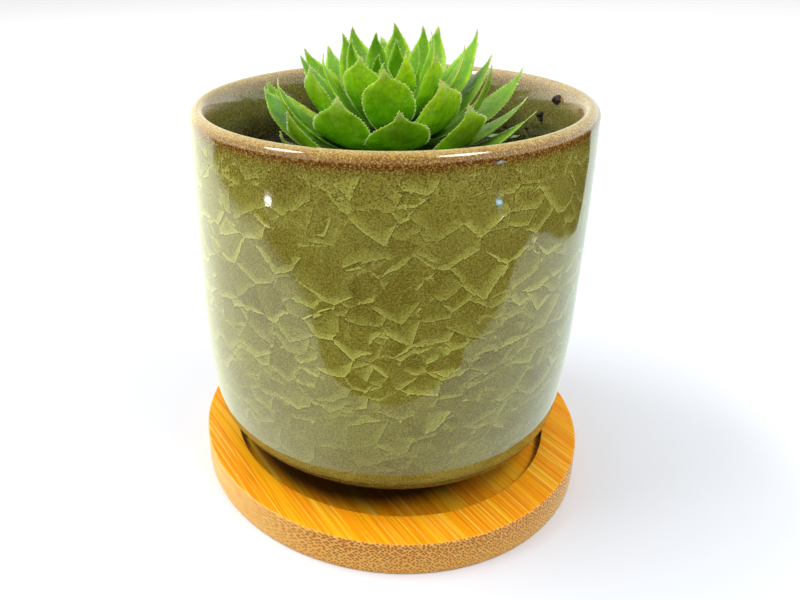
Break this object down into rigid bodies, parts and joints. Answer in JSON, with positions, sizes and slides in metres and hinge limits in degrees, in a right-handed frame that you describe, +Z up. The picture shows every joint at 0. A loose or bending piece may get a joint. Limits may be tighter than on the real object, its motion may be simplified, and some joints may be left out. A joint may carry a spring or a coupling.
{
  "type": "potted houseleek",
  "caption": "Houseleek rosette of pointed fleshy leaves growing in a straight round pot with crackle glaze, standing on a round bamboo saucer.",
  "frame": {"origin": "centre of the saucer's underside, on the surface it stands on", "axes": "+Z up through the pot and the rosette; +Y to the back, the side of the recess that the pot is pushed against; +X to the right"},
  "size_m": [0.0806, 0.082, 0.0885],
  "materials": {
    "bamboo": "satin",
    "crackle_glaze": "gloss",
    "soil": "matt crumb",
    "stem": "matt",
    "leaf": "satin, waxy",
    "old_leaf": "matt"
  },
  "bodies": {
    "root": {"bamboo_saucer": "bamboo", "pot": "crackle_glaze", "potting_soil": "soil", "stem": "stem", "leaf_01": "leaf", "leaf_02": "leaf", "leaf_03": "leaf", "leaf_04": "leaf", "leaf_05": "leaf", "leaf_06": "leaf", "leaf_07": "leaf", "leaf_08": "leaf", "leaf_09": "leaf", "leaf_10": "leaf", "leaf_11": "leaf", "leaf_12": "leaf", "leaf_13": "leaf", "leaf_14": "leaf", "leaf_15": "leaf", "leaf_16": "leaf", "leaf_17": "leaf", "leaf_18": "leaf", "leaf_19": "leaf", "leaf_20": "leaf", "leaf_21": "leaf", "leaf_22": "leaf", "leaf_23": "leaf", "leaf_24": "leaf", "leaf_25": "leaf", "leaf_26": "leaf", "leaf_27": "leaf", "leaf_28": "leaf", "leaf_29": "leaf", "leaf_30": "leaf", "leaf_31": "leaf", "leaf_32": "leaf", "leaf_33": "leaf", "leaf_34": "leaf", "leaf_35": "leaf", "leaf_36": "leaf", "leaf_37": "leaf", "leaf_38": "leaf", "leaf_39": "leaf", "leaf_40": "leaf", "leaf_41": "leaf", "leaf_42": "leaf", "leaf_43": "leaf", "leaf_44": "leaf", "leaf_45": "leaf", "leaf_46": "leaf", "old_leaf": "old_leaf"}
  },
  "joints": []
}
